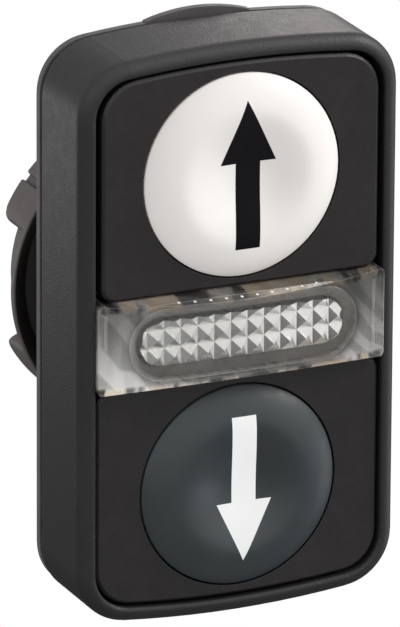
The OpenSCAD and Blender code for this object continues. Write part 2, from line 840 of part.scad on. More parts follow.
// Nut with a dished flange in front and lugs behind it; the front is at z = 0
module fixing_nut() {
    c = lug_chamfer;
    dish_r = nut_rim - dish_wall;
    cone_end = -flange_t - flange_cone;
    corner_in = lug_corner - corner_step;
    color("#5a5450") stand() translate([0, 0, -nut_back]) difference() {
        union() {
            rotate_extrude() polygon([[nut_bore, -nut_l], [nut_core, -nut_l],
                [nut_core, cone_end], [nut_rim, -flange_t], [nut_rim, 0], [dish_r, 0],
                [dish_r - dish_side, -dish_d], [nut_bore, -dish_d]]);
            for (i = [0 : lugs - 1]) rotate([0, 0, lug_turn - lug_angle / 2 + 360 / lugs * i])
                rotate_extrude(angle = lug_angle) polygon([[nut_core - lug_foot, -nut_l],
                    [lug_r - c, -nut_l], [lug_r, c - nut_l], [(lug_r + nut_rim) / 2, -flange_t / 2],
                    [dish_r, -flange_t / 2], [nut_core - lug_foot, cone_end]]);
        }
        for (i = [0 : lugs - 1]) rotate([0, 0, lug_turn + 360 / lugs * i]) {
            rotate([0, 0, lug_groove_turn])
                translate([lug_r - lug_groove_d, -lug_groove_w / 2, -nut_l - eps])
                    cube([nut_rim, lug_groove_w, nut_l - flange_t]);
            for (m = [0, 1]) mirror([0, m, 0]) rotate([0, 0, lug_angle / 2])
                translate([nut_core + lug_foot, -corner_in, corner_in - nut_l])
                    rotate([90, 0, 90]) linear_extrude(nut_core) corner_cut(lug_corner);
        }
    }
}

bezel();
upper_faceplate();
lower_faceplate();
upper_button_cap();
lower_button_cap();
upper_arrow();
lower_arrow();
upper_carrier();
lower_carrier();
upper_return_spring();
lower_return_spring();
upper_rod_seal();
lower_rod_seal();
upper_rod_clip();
lower_rod_clip();
lens();
light_guide();
light_baffle();
lens_seal();
base_plate();
panel_gasket();
barrel();
guide_disc();
fixing_nut();
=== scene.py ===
import json
import math

import bmesh
import bpy
from mathutils import Matrix, Vector


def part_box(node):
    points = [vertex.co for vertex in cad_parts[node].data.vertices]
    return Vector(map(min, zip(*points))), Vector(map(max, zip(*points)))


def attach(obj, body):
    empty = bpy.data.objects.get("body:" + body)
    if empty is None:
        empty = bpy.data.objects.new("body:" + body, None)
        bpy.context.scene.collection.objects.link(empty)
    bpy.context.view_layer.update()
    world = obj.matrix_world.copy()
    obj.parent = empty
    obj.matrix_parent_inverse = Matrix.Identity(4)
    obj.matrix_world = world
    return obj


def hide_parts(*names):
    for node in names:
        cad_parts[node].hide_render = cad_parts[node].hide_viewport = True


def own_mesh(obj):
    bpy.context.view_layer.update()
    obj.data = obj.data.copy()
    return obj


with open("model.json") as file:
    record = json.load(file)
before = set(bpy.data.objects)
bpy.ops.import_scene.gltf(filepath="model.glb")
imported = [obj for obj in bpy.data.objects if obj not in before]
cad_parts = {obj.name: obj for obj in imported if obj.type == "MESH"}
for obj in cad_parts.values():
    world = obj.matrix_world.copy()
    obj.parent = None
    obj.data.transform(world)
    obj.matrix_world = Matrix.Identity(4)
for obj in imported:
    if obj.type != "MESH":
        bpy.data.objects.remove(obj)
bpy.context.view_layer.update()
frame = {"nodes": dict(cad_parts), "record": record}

nodes = frame["nodes"]
scene = bpy.context.scene

# Camera, fitted to the edges in the photograph: angles in radians, shift in millimetres,
# and focal length in pixels of a picture that is 400 wide
YAW, PITCH, ROLL = 0.4276, 0.3347, 0.0057
SHIFT = Vector((-0.6251, 777.6903, 1.4997))
FOCAL, PICTURE_WIDTH, SENSOR_WIDTH = 8916.17, 400, 36
CLIP_NEAR, CLIP_FAR = 0.05, 20

# World: plain white to look at, while it lights a little more softly. In mirrors it is
# greyer towards the ground and behind the object, and in glass towards the left. A fade,
# here and below, is where it starts and ends, and the values before and after it, which
# are 0 and 1 where none are given
WORLD_LIGHT = 0.76
GROUND_FADE = (-0.5, 0.4, 0.14, 1.0)
REAR_FADE = (-0.1, 0.7, 1.0, 0.5)
LEFT_FADE = (-0.65, 0.1, 0.12, 1.0)

# Square lamps: place, side, power, colour, and the point they aim at
LAMPS = {
    "key": ((0.38, -0.146, 0.29), 0.22, 1.35, (1.0, 0.97, 0.95), (0, 0, 0)),
    "right": ((0.3, -0.03, -0.1), 0.15, 0.1, (0.92, 0.95, 1.0), (0, 0, 0)),
    "top_right": (
        (0.062, 0.092, 0.06),
        0.03,
        0.0135,
        (1.0, 0.94, 0.92),
        (0.012, 0.006, 0.033),
    ),
    "top_left": (
        (-0.065, 0.109, -0.012),
        0.04,
        0.0105,
        (1.0, 0.96, 0.96),
        (-0.018, 0.006, 0.025),
    ),
}


def build_camera():
    turn = (
        Matrix.Rotation(ROLL, 3, "Y")
        @ Matrix.Rotation(PITCH, 3, "X")
        @ Matrix.Rotation(YAW, 3, "Z")
    )
    axes = Matrix((turn[0], turn[2], -turn[1]))
    place = -(turn.transposed() @ SHIFT) / 1000
    data = bpy.data.cameras.new("camera")
    data.sensor_fit = "HORIZONTAL"
    data.sensor_width = SENSOR_WIDTH
    data.lens = FOCAL * SENSOR_WIDTH / PICTURE_WIDTH
    data.clip_start = CLIP_NEAR
    data.clip_end = CLIP_FAR
    camera = bpy.data.objects.new("camera", data)
    scene.collection.objects.link(camera)
    camera.matrix_world = Matrix.Translation(place) @ axes.transposed().to_4x4()
    scene.camera = camera


class Graph:
    """A node tree with short ways to add nodes and join them. Where a method takes a
    value, it is a number, a colour or another node's output."""

    def __init__(self, tree):
        self.tree = tree

    def add(self, kind, settings=None, **inputs):
        n = self.tree.nodes.new(kind)
        for k, v in (settings or {}).items():
            setattr(n, k, v)
        for k, v in inputs.items():
            n.inputs[k.replace("_", " ")].default_value = v
        return n

    def put(self, value, socket):
        if isinstance(value, (int, float)):
            socket.default_value = value
        elif isinstance(value, tuple):
            socket.default_value = value + (1,)
        else:
            self.tree.links.new(value, socket)

    def math(self, operation, a, b=0.0):
        n = self.add("ShaderNodeMath", {"operation": operation})
        self.put(a, n.inputs[0])
        self.put(b, n.inputs[1])
        return n.outputs[0]

    def plus(self, a, b):
        return self.math("ADD", a, b)

    def minus(self, a, b):
        return self.math("SUBTRACT", a, b)

    def times(self, a, b):
        return self.math("MULTIPLY", a, b)

    def larger(self, a, b):
        return self.math("MAXIMUM", a, b)

    def absolute(self, a):
        return self.math("ABSOLUTE", a)

    def length(self, a, b):
        return self.math("SQRT", self.plus(self.times(a, a), self.times(b, b)))

    def split(self, vector):
        n = self.add("ShaderNodeSeparateXYZ")
        self.put(vector, n.inputs[0])
        return n.outputs

    def smooth(self, value, low, high, start=0.0, end=1.0):
        """start up to low, end from high on, and a smooth change between them."""
        n = self.add(
            "ShaderNodeMapRange",
            {"interpolation_type": "SMOOTHSTEP"},
            From_Min=low,
            From_Max=high,
            To_Min=start,
            To_Max=end,
        )
        self.put(value, n.inputs["Value"])
        return n.outputs[0]

    def pick(self, factor, a, b):
        """The number a where the factor is 0, and b where it is 1."""
        n = self.add("ShaderNodeMix", {"data_type": "FLOAT"})
        for value, key in ((factor, "Factor"), (a, "A"), (b, "B")):
            self.put(value, n.inputs[key])
        return n.outputs[0]


def build_world():
    world = bpy.data.worlds.new("studio")
    scene.world = world
    world.use_nodes = True
    w = Graph(world.node_tree)
    w.tree.nodes.clear()
    ray = w.add("ShaderNodeLightPath").outputs
    x, y, z = w.split(w.add("ShaderNodeTexCoord").outputs["Generated"])
    mirrored = w.times(w.smooth(z, *GROUND_FADE), w.smooth(y, *REAR_FADE))
    light = w.pick(ray["Is Glossy Ray"], WORLD_LIGHT, mirrored)
    light = w.pick(ray["Is Transmission Ray"], light, w.smooth(x, *LEFT_FADE))
    light = w.pick(ray["Is Camera Ray"], light, 1.0)
    back = w.add("ShaderNodeBackground")
    w.put((1, 1, 1), back.inputs["Color"])
    w.put(light, back.inputs["Strength"])
    out = w.add("ShaderNodeOutputWorld")
    w.put(back.outputs[0], out.inputs[0])


def build_lamp(name, at, side, power, tint, aim):
    data = bpy.data.lights.new(name, "AREA")
    data.shape = "RECTANGLE"
    data.size = data.size_y = side
    data.energy = power
    data.color = tint
    lamp = bpy.data.objects.new(name, data)
    lamp.location = at
    lamp.rotation_euler = (Vector(aim) - Vector(at)).to_track_quat("-Z", "Y").to_euler()
    lamp.visible_camera = False
    scene.collection.objects.link(lamp)


build_camera()
build_world()
for name, lamp_settings in LAMPS.items():
    build_lamp(name, *lamp_settings)

# Materials. Lengths are in metres. A noise is its scale, in waves per metre, and its
# detail, and a mottle runs from one colour or value to another between two stops of it.
# An edge is worn more and more between two cosines of the angle by which its rounded
# normal leaves the true one
MOTTLE_STOPS = (0.3, 0.7)
WORN_START, WORN_FULL = 0.995, 0.8
BEVEL_SAMPLES, ROOM_SAMPLES = 6, 8

# Plastic: the grey that wear adds and the palest it gets, the strength of the grain, and
# the painted shade in a deep recess, a darker colour which takes over as the room round
# the surface shrinks
COLOR_NOISE, WEAR_NOISE, GLOSS_NOISE = (240, 4), (1500, 4), (1100, 4)
WORN_GREY, WORN_MOST = 0.01, 0.9
GRAIN_DETAIL, GRAIN_STRENGTH, PLASTIC_IOR = 2, 0.6, 1.5
PAINTED_SHADE_SCALE, ROOM_FADE = 0.12, (0.35, 0.75)

# Metal: how dark its mottling gets, how far its roughness goes down and up, and the
# relief of its drawn surface
METAL_NOISE, METAL_DARK, METAL_SMOOTHER, METAL_ROUGHER = (2500, 4), 0.85, 0.06, 0.08
DRAWN_NOISE, DRAWN_STRENGTH, DRAWN_RELIEF, METAL_ROUND = (6000, 3), 0.4, 0.00001, 0.00005

# Lens: half of the straight part of the prism field behind it; its haze by the distance
# from the field's middle line; and its sloping edges by their height
FIELD_HALF = 0.0074
HAZE_FADE = (0.0026, 0.0042)
SLOPE_FADE = (0.0032, 0.0036)

# The lens's patches and bent streaks, how strongly they veil it, and how the veil fades
# upwards and to the right: painted light and shade, paler at the bottom and left, darker
# at the top and right
PATCH_NOISE, PATCH_STRETCH = (520, 2), (1.1, 0.25, 0.25)
PATCH_STOPS = (0.44, 0.47, 0.53, 0.56)
PATCH_FADE = (0.43, 0.57, -1.0, 1.0)
PATCH_ON_SLOPE, PATCH_ALL_OVER = 0.65, 0.1
STREAK = {"Scale": 165, "Distortion": 9, "Detail": 2, "Detail_Scale": 0.6}
STREAK_FADE = (0.35, 0.65, -0.22, 0.22)
PAINTED_VEIL_UP_FADE = (-0.0045, 0.0035, 1.3, 0.3)
PAINTED_VEIL_RIGHT_FADE = (-0.013, 0.009, 2.6, 1.2)
CLEAREST = 0.98

# The lens's light spots, a painted reflection of the prism tips in its top: their pitch
# and the shift of the row; how far forward its middle is, and its bow; a spot's fade from
# its core outward; and the lowest height with spots
SPOT_PITCH, SPOT_START, SPOT_Y, SPOT_BOW = 0.00145, 0.1064, 0.01145, 8.8
SPOT_FADE = (0.00008, 0.0002, 0.9, 0.0)
SPOT_LOWEST, PAINTED_SPOT_COLOR = 0.003, (1.0, 1.0, 0.99)

# The lens's surface: rounds at its edges, along which a painted glint of pale colour
# shows, less so at the top edge, and its gloss and relief
LENS_ROUND, PAINTED_GLINT_NOISE, PAINTED_GLINT_FADE = 0.00014, (260, 3), (0.0032, 0.0035, 1.2, 0.4)
LENS_GLOSS_NOISE, LENS_GLOSS_SPREAD, LENS_IOR = (700, 3), 0.02, 1.49
LENS_WAVE_NOISE, LENS_WAVE_STRENGTH, LENS_WAVE = (350, 2), 0.15, 0.00001

# Prisms: colour, with painted light that makes it paler to the right, and roughness along
# the field, their unevenness, and their relief
PRISM_PAINTED_LIGHT_FADE = (-0.009, 0.009)
PRISM_ROUGH_FADE = (-0.009, 0.006, 0.2, 0.06)
PRISM_SHADE_NOISE, PRISM_SHADE = (900, 3), 0.93
PRISM_GLOSS_NOISE, PRISM_GLOSS_SPREAD = (1500, 3), 0.05
PRISM_GRAIN_NOISE, PRISM_GRAIN_STRENGTH, PRISM_GRAIN = (5000, 2), 0.3, 0.000006
PRISM_ROUND = 0.00002


class Material(Graph):
    """A new material, with its shader's sockets and the coordinates that it paints by."""

    def __init__(self, name):
        self.mat = bpy.data.materials.new(name)
        self.mat.use_nodes = True
        super().__init__(self.mat.node_tree)
        self.shader = self.tree.nodes["Principled BSDF"].inputs
        self.coord = self.add("ShaderNodeTexCoord").outputs["Object"]

    def noise(self, pattern, vector=None):
        scale, detail = pattern
        n = self.add("ShaderNodeTexNoise", Scale=scale, Detail=detail)
        self.put(self.coord if vector is None else vector, n.inputs["Vector"])
        return n.outputs["Fac"]

    def ramp(self, value, stops, colors):
        """Colours, or numbers for greys, at these stops of the value."""
        n = self.add("ShaderNodeValToRGB")
        elements = n.color_ramp.elements
        while len(elements) < len(stops):
            elements.new(0.5)
        for element, stop, c in zip(elements, stops, colors):
            element.position = stop
            element.color = c + (1,) if isinstance(c, tuple) else (c, c, c, 1)
        self.put(value, n.inputs["Fac"])
        return n.outputs["Color"]

    def mottle(self, pattern, a, b):
        return self.ramp(self.noise(pattern), MOTTLE_STOPS, (a, b))

    def mix(self, factor, a, b, blend="MIX"):
        n = self.add("ShaderNodeMix", {"data_type": "RGBA", "blend_type": blend})
        colors = [i for i in n.inputs if i.type == "RGBA"]
        self.put(factor, n.inputs["Factor"])
        self.put(a, colors[0])
        self.put(b, colors[1])
        return [o for o in n.outputs if o.type == "RGBA"][0]

    def rounded(self, radius):
        n = self.add("ShaderNodeBevel", {"samples": BEVEL_SAMPLES}, Radius=radius)
        return n.outputs["Normal"]

    def edge(self, normal, noise):
        """1 at worn edges, 0 on faces: where the rounded normal leaves the true one."""
        dot = self.add("ShaderNodeVectorMath", {"operation": "DOT_PRODUCT"})
        self.put(normal, dot.inputs[0])
        self.put(self.add("ShaderNodeNewGeometry").outputs["Normal"], dot.inputs[1])
        worn = self.add("ShaderNodeMapRange", From_Min=WORN_START, From_Max=WORN_FULL)
        self.put(dot.outputs["Value"], worn.inputs["Value"])
        return self.times(worn.outputs[0], noise)

    def bump(self, height, strength, distance, normal):
        n = self.add("ShaderNodeBump", Strength=strength, Distance=distance)
        self.put(height, n.inputs["Height"])
        self.put(normal, n.inputs["Normal"])
        self.put(n.outputs["Normal"], self.shader["Normal"])


def plastic(
    name,
    color,
    rough,
    grain=9000,
    relief=0.000012,
    tint=0.1,
    spread=0.07,
    round_mm=0.12,
    wear=0.35,
    shine=0.5,
    room=0.0,
):
    """Moulded plastic or rubber: fine eroded texture, soft mottling, rubbed edges. With
    room set, shade is painted into its colour: it goes darker where less than that is free
    round the surface."""
    m = Material(name)
    dark = tuple(c * (1 - tint) for c in color)
    light = tuple(min(1, c * (1 + tint)) for c in color)
    worn = tuple(min(WORN_MOST, c * (1 + wear) + WORN_GREY * wear) for c in color)
    normal = m.rounded(round_mm / 1000)
    base = m.mottle(COLOR_NOISE, dark, light)
    base = m.mix(m.edge(normal, m.noise(WEAR_NOISE)), base, worn)
    # Painted shade: the colour darkens in recesses, where little room is free round the
    # surface
    if room:
        kind, settings = "ShaderNodeAmbientOcclusion", {"samples": ROOM_SAMPLES}
        free = m.add(kind, settings, Distance=room).outputs["AO"]
        painted_recess_shade = tuple(c * PAINTED_SHADE_SCALE for c in color)
        base = m.mix(m.smooth(free, *ROOM_FADE), painted_recess_shade, base)
    m.put(base, m.shader["Base Color"])
    gloss = m.mottle(GLOSS_NOISE, rough - spread, rough + spread)
    m.put(gloss, m.shader["Roughness"])
    m.put(PLASTIC_IOR, m.shader["IOR"])
    m.put(shine, m.shader["Specular IOR Level"])
    m.bump(m.noise((grain, GRAIN_DETAIL)), GRAIN_STRENGTH, relief, normal)
    return m.mat


def metal(name, color, rough):
    """Drawn wire or pressed strip, mottled a little in colour and gloss."""
    m = Material(name)
    dark = tuple(c * METAL_DARK for c in color)
    m.put(m.mottle(METAL_NOISE, dark, color), m.shader["Base Color"])
    m.put(1, m.shader["Metallic"])
    gloss = m.mottle(METAL_NOISE, rough - METAL_SMOOTHER, rough + METAL_ROUGHER)
    m.put(gloss, m.shader["Roughness"])
    normal = m.rounded(METAL_ROUND)
    m.bump(m.noise(DRAWN_NOISE), DRAWN_STRENGTH, DRAWN_RELIEF, normal)
    return m.mat


def painted_reflection_spots(m, x, y, z):
    """A painted reflection: a row of round light spots over the prism field, which bows as
    the lens's front does.
    """
    count = m.minus(m.math("DIVIDE", m.plus(x, SPOT_START), SPOT_PITCH), 0.5)
    across = m.times(m.minus(m.math("FRACT", count), 0.5), SPOT_PITCH)
    row = m.minus(m.times(m.times(x, x), SPOT_BOW), SPOT_Y)
    painted_spot = m.smooth(m.length(across, m.minus(y, row)), *SPOT_FADE)
    painted_spot = m.times(painted_spot, m.math("GREATER_THAN", z, SPOT_LOWEST))
    return m.times(painted_spot, m.math("LESS_THAN", m.absolute(x), FIELD_HALF))


def lens_plastic(name, color, patches, rough, clear):
    """Clear plastic that is hazier round the prism field than over it. It has bent
    streaks, and its sloping edges carry tan patches and a row of light spots, as the
    prisms behind throw them there. The spots are a painted reflection, its edges carry
    a painted glint, and its haze is painted paler towards the bottom left."""
    m = Material(name)
    x, y, z = m.split(m.coord)
    past_field = m.larger(m.minus(m.absolute(x), FIELD_HALF), 0.0)
    haze = m.smooth(m.length(past_field, z), *HAZE_FADE)
    slope = m.smooth(m.absolute(z), *SLOPE_FADE)

    stretch = m.add("ShaderNodeMapping", Scale=PATCH_STRETCH)
    m.put(m.coord, stretch.inputs["Vector"])
    cloud = m.noise(PATCH_NOISE, stretch.outputs[0])
    base = m.mix(slope, color, m.ramp(cloud, PATCH_STOPS, patches))
    # Painted reflection: light spots in the lens's colour, where it is also made less clear
    painted_spot = painted_reflection_spots(m, x, y, z)
    m.put(m.mix(painted_spot, base, PAINTED_SPOT_COLOR), m.shader["Base Color"])

    normal = m.rounded(LENS_ROUND)
    # Painted highlight: along the rounded edges the lens is made less clear, so its pale
    # colour shows as light lines
    painted_glint = m.edge(normal, m.noise(PAINTED_GLINT_NOISE))
    painted_glint = m.times(painted_glint, m.smooth(z, *PAINTED_GLINT_FADE))
    waves = m.add("ShaderNodeTexWave", {"bands_direction": "DIAGONAL"}, **STREAK)
    m.put(m.coord, waves.inputs["Vector"])
    streaks = m.smooth(waves.outputs["Fac"], *STREAK_FADE)

    contrast = m.plus(m.times(slope, PATCH_ON_SLOPE), PATCH_ALL_OVER)
    contrast = m.times(contrast, m.smooth(cloud, *PATCH_FADE))
    veil = m.times(haze, m.plus(m.plus(contrast, streaks), 1.0))
    # Painted light and shade: the veil thins upwards and to the right, so the lens is paler
    # at its bottom left and darker at its top right
    veil = m.times(veil, m.smooth(z, *PAINTED_VEIL_UP_FADE))
    veil = m.times(veil, m.smooth(x, *PAINTED_VEIL_RIGHT_FADE))
    # The painted glint and the painted spots take clearness away, so the pale colour shows
    # there
    veil = m.larger(m.times(veil, 1.0 - clear), m.larger(painted_glint, painted_spot))
    through = m.larger(m.minus(CLEAREST, veil), 0.0)
    m.put(through, m.shader["Transmission Weight"])

    m.put(LENS_IOR, m.shader["IOR"])
    low, high = rough - LENS_GLOSS_SPREAD, rough + LENS_GLOSS_SPREAD
    m.put(m.mottle(LENS_GLOSS_NOISE, low, high), m.shader["Roughness"])
    m.bump(m.noise(LENS_WAVE_NOISE), LENS_WAVE_STRENGTH, LENS_WAVE, normal)
    return m.mat


def prism(name, painted_shade_left, bright):
    """The prism field: facets that mirror their surroundings, more sharply to the right,
    with painted light that makes their colour paler to the right.
    """
    m = Material(name)
    x = m.split(m.coord)[0]
    # Painted light: the facets' colour grows paler from left to right
    base = m.mix(m.smooth(x, *PRISM_PAINTED_LIGHT_FADE), painted_shade_left, bright)
    shade = m.mottle(PRISM_SHADE_NOISE, PRISM_SHADE, 1.0)
    m.put(m.mix(1.0, base, shade, "MULTIPLY"), m.shader["Base Color"])
    m.put(1.0, m.shader["Metallic"])
    uneven = m.times(m.noise(PRISM_GLOSS_NOISE), PRISM_GLOSS_SPREAD)
    rough = m.plus(m.smooth(x, *PRISM_ROUGH_FADE), uneven)
    m.put(rough, m.shader["Roughness"])
    grain = m.noise(PRISM_GRAIN_NOISE)
    m.bump(grain, PRISM_GRAIN_STRENGTH, PRISM_GRAIN, m.rounded(PRISM_ROUND))
    return m.mat


LOOKS = (
    (
        "bezel_plastic",
        plastic,
        dict(
            color=(0.021, 0.019, 0.0205),
            rough=0.46,
            grain=5000,
            relief=0.00005,
            spread=0.03,
            tint=0.05,
            wear=0.15,
            round_mm=0.6,
        ),
    ),
    (
        "faceplate_plastic",
        plastic,
        dict(color=(0.019, 0.0162, 0.0175), rough=0.42, grain=5000, relief=0.00003),
    ),
    (
        "white_plastic",
        plastic,
        dict(
            color=(0.9, 0.87, 0.845),
            rough=0.42,
            tint=0.012,
            wear=0.0,
            relief=0.000004,
        ),
    ),
    (
        "slate_plastic",
        plastic,
        dict(
            color=(0.0345, 0.0435, 0.0475),
            rough=0.4,
            tint=0.05,
            wear=0.1,
            relief=0.000004,
            shine=0.55,
        ),
    ),
    (
        "arrow_black",
        plastic,
        dict(
            color=(0.004, 0.003, 0.005),
            rough=0.7,
            tint=0.2,
            round_mm=0.03,
            shine=0.15,
        ),
    ),
    (
        "arrow_white",
        plastic,
        dict(color=(0.97, 0.97, 0.97), rough=0.5, tint=0.01, wear=0.0, round_mm=0.03),
    ),
    ("carrier_plastic", plastic, dict(color=(0.03, 0.032, 0.036), rough=0.45)),
    ("spring_steel", metal, dict(color=(0.6, 0.6, 0.62), rough=0.28)),
    ("seal_rubber", plastic, dict(color=(0.42, 0.4, 0.37), rough=0.6, tint=0.2)),
    ("clip_steel", metal, dict(color=(0.5, 0.5, 0.51), rough=0.35)),
    (
        "lens_clear",
        lens_plastic,
        dict(
            color=(0.93, 0.92, 0.9),
            patches=(
                (0.6, 0.6, 0.58),
                (0.92, 0.9, 0.86),
                (0.9, 0.86, 0.8),
                (0.85, 0.71, 0.56),
            ),
            rough=0.03,
            clear=0.8,
        ),
    ),
    (
        "light_guide_clear",
        prism,
        # Painted light: the prism colour at the left, and the paler one at the right
        dict(painted_shade_left=(0.84, 0.85, 0.85), bright=(0.99, 0.99, 1.0)),
    ),
    ("baffle_grey", plastic, dict(color=(0.1, 0.088, 0.075), rough=0.3, tint=0.3)),
    ("base_plastic", plastic, dict(color=(0.01, 0.0095, 0.01), rough=0.5)),
    (
        "gasket_rubber",
        plastic,
        dict(color=(0.098, 0.093, 0.094), rough=0.6, tint=0.12),
    ),
    (
        "nut_plastic",
        plastic,
        dict(
            color=(0.1, 0.088, 0.083),
            rough=0.55,
            round_mm=0.35,
            tint=0.08,
            # Painted shade in the nut's recesses
            room=0.007,
        ),
    ),
)
mats = {name: make(name, **look) for name, make, look in LOOKS}
slot_of = {s["node"]: s["material_slot"] for s in frame["record"]["subparts"]}
for name, obj in nodes.items():
    obj.data.materials.clear()
    obj.data.materials.append(mats[slot_of[name]])


# Pieces that are drawn finer than the CAD solids. Sizes are in millimetres, with z in
# front of the panel and y up, as in the part's source. Points closer than WELD, in
# metres, become one
WELD = 1e-7


def to_world(x, y, z):
    return Vector((x, -z, y)) / 1000


def clamp(value):
    return min(1.0, max(0.0, value))


def skin(bm, rows, ring=True, loop=False):
    """Cover rows of points with quads. In a ring each row's last point joins its first,
    and in a loop the last row joins the first."""
    made = [[bm.verts.new(to_world(*point)) for point in row] for row in rows]
    for p, q in zip(made, made[1:] + made[:1] if loop else made[1:]):
        for i in range(len(p) if ring else len(p) - 1):
            j = (i + 1) % len(p)
            bm.faces.new((p[i], p[j], q[j], q[i]))
    return made


def finish_piece(bm, name, node, body, sharp=30.0):
    bmesh.ops.remove_doubles(bm, verts=bm.verts, dist=WELD)
    bmesh.ops.recalc_face_normals(bm, faces=bm.faces)
    mesh = bpy.data.meshes.new(name)
    bm.to_mesh(mesh)
    bm.free()
    mesh.shade_smooth()
    mesh.set_sharp_from_angle(angle=math.radians(sharp))
    piece = bpy.data.objects.new(name, mesh)
    scene.collection.objects.link(piece)
    mesh.materials.append(mats[slot_of[node]])
    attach(piece, body)
    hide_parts(node)
    return piece


# The two buttons: the front of the faceplate round each, which way it lies from the
# middle, and how far up on its cap the arrow sits
FRONT = {"upper": 10.0, "lower": 9.6}
SIGN = {"upper": 1, "lower": -1}
ARROW_UP = {"upper": 0.35, "lower": 0.0}

# Caps: a dished face, an arched slope down to a rounded edge, and a hollow behind
CAP_Y, CAP_R, CREST_R, CREST_H, DISH, EDGE = 14.2, 9.15, 5.2, 1.4, 0.2, 0.3
CAP_SEAT, CAP_WALL, CAVITY_TOP = 7.55, 1.0, 9.45
CAP_SIDES, FACE_STEPS, EDGE_STEPS = 160, 26, 6


def arc_r(w, b):
    return (w * w + b * b) / (2 * b)


SLOPE_W = CAP_R - CREST_R
SLOPE_ARC = arc_r(SLOPE_W, CREST_H)
DISH_ARC = arc_r(CREST_R / 2, DISH / 2)
EDGE_Y = CREST_H - SLOPE_ARC + math.sqrt((SLOPE_ARC - EDGE) ** 2 - (SLOPE_W - EDGE) ** 2)
EDGE_TURN = math.atan2(EDGE_Y - CREST_H + SLOPE_ARC, SLOPE_W - EDGE)
FACE_R = CREST_R + SLOPE_ARC * math.cos(EDGE_TURN)

# The face's normals lean inward between these radii, and halfway by this slope. They are
# left alone at the very middle and next to the rounded edge
LEAN_IN, LEAN_OUT, LEAN = 0.9, 6.4, 0.42
MIDDLE_R, EDGE_MARGIN, SLOPE_STEP = 0.01, 0.1, 0.01


def cap_height(r):
    """Height of a cap's face above the faceplate's front at radius r."""
    if r < CREST_R / 2:
        return CREST_H - DISH + DISH_ARC - math.sqrt(DISH_ARC**2 - r * r)
    if r < CREST_R:
        return CREST_H - DISH_ARC + math.sqrt(DISH_ARC**2 - (CREST_R - r) ** 2)
    return CREST_H - SLOPE_ARC + math.sqrt(SLOPE_ARC**2 - (r - CREST_R) ** 2)


def shade_dish(mesh, front, s):
    """Lean the face's normals inward, so the shallow dish is shaded as in the photograph."""
    normals = []
    for loop in mesh.loops:
        x, depth, height = mesh.vertices[loop.vertex_index].co * 1000
        y = height - s * CAP_Y
        r = math.hypot(x, y)
        if -depth < front + EDGE_Y or r > FACE_R - EDGE_MARGIN or r < MIDDLE_R:
            normals.append((0, 0, 0))
            continue
        t = clamp((r - LEAN_IN) / (LEAN_OUT - LEAN_IN))
        slope = (cap_height(r + SLOPE_STEP) - cap_height(r - SLOPE_STEP)) / (2 * SLOPE_STEP)
        slope += LEAN * 4 * t * (1 - t)
        normals.append(Vector((-slope * x / r, -1, -slope * y / r)).normalized())
    mesh.normals_split_custom_set(normals)


def build_cap(side):
    front, s = FRONT[side], SIGN[side]
    radii = [FACE_R * k / FACE_STEPS for k in range(FACE_STEPS + 1)]
    outline = [(r, front + cap_height(r)) for r in radii]
    for k in range(1, EDGE_STEPS + 1):
        a = EDGE_TURN * (1 - k / EDGE_STEPS)
        r = CAP_R - EDGE + EDGE * math.cos(a)
        outline.append((r, front + EDGE_Y + EDGE * math.sin(a)))
    inner = CAP_R - CAP_WALL
    outline += [(CAP_R, CAP_SEAT), (inner, CAP_SEAT), (inner, CAVITY_TOP), (0, CAVITY_TOP)]
    turns = [2 * math.pi * i / CAP_SIDES for i in range(CAP_SIDES)]
    rings = []
    for r, z in outline:
        rings.append([(r * math.cos(a), s * CAP_Y + r * math.sin(a), z) for a in turns])
    bm = bmesh.new()
    skin(bm, rings)
    shell = finish_piece(bm, side + "_cap_shell", side + "_button_cap", side + "_button")
    shade_dish(shell.data, front, s)


# Arrows: draped on the dish, a little proud of it, with a short side wall
ARROW_L, SHAFT_W, HEAD_W, HEAD_L = 13.3, 2.3, 5.2, 5.5
ARROW_PROUD, ARROW_WALL = 0.008, 0.15
SHAFT_STEPS, HEAD_STEPS, HALF_STEPS = 26, 18, 4


def build_arrow(side):
    front, s, up = FRONT[side], SIGN[side], ARROW_UP[side]
    tip, half = ARROW_L / 2, SHAFT_W / 2
    neck = tip - HEAD_L
    across = [half * (k / HALF_STEPS - 1) for k in range(2 * HALF_STEPS + 1)]
    barb = HEAD_W / 2 - half
    barbs = [half + barb * k / HALF_STEPS for k in range(1, HALF_STEPS + 1)]
    base = [-v for v in reversed(barbs)] + across + barbs
    shaft, head = [], []
    for j in range(SHAFT_STEPS + 1):
        shaft.append([(x, -tip + (neck + tip) * j / SHAFT_STEPS) for x in across])
    for j in range(HEAD_STEPS + 1):
        y = neck + HEAD_L * j / HEAD_STEPS
        head.append([(x * (1 - j / HEAD_STEPS), y) for x in base])

    def drape(x, y):
        z = front + cap_height(math.hypot(x, y + up)) + ARROW_PROUD
        return s * x, s * (CAP_Y + y + up), z

    bm = bmesh.new()
    for grid in (shaft, head):
        skin(bm, [[drape(x, y) for x, y in row] for row in grid], ring=False)
    bmesh.ops.remove_doubles(bm, verts=bm.verts, dist=WELD)
    rim = [e for e in bm.edges if e.is_boundary]
    foot = {}
    for v in dict.fromkeys(v for e in rim for v in e.verts):
        foot[v] = bm.verts.new(v.co)
        foot[v].co.y += ARROW_WALL / 1000
    for e in rim:
        p, q = e.verts
        bm.faces.new((q, foot[q], foot[p], p))
    finish_piece(bm, side + "_arrow_face", side + "_arrow", side + "_button", sharp=60)


# Return springs: round wire, with its end turns closed
SPRING_R, WIRE_R, TURNS, DEAD = 2.9, 0.2, 4.5, 0.75
TURN_STEPS, WIRE_SIDES = 48, 12


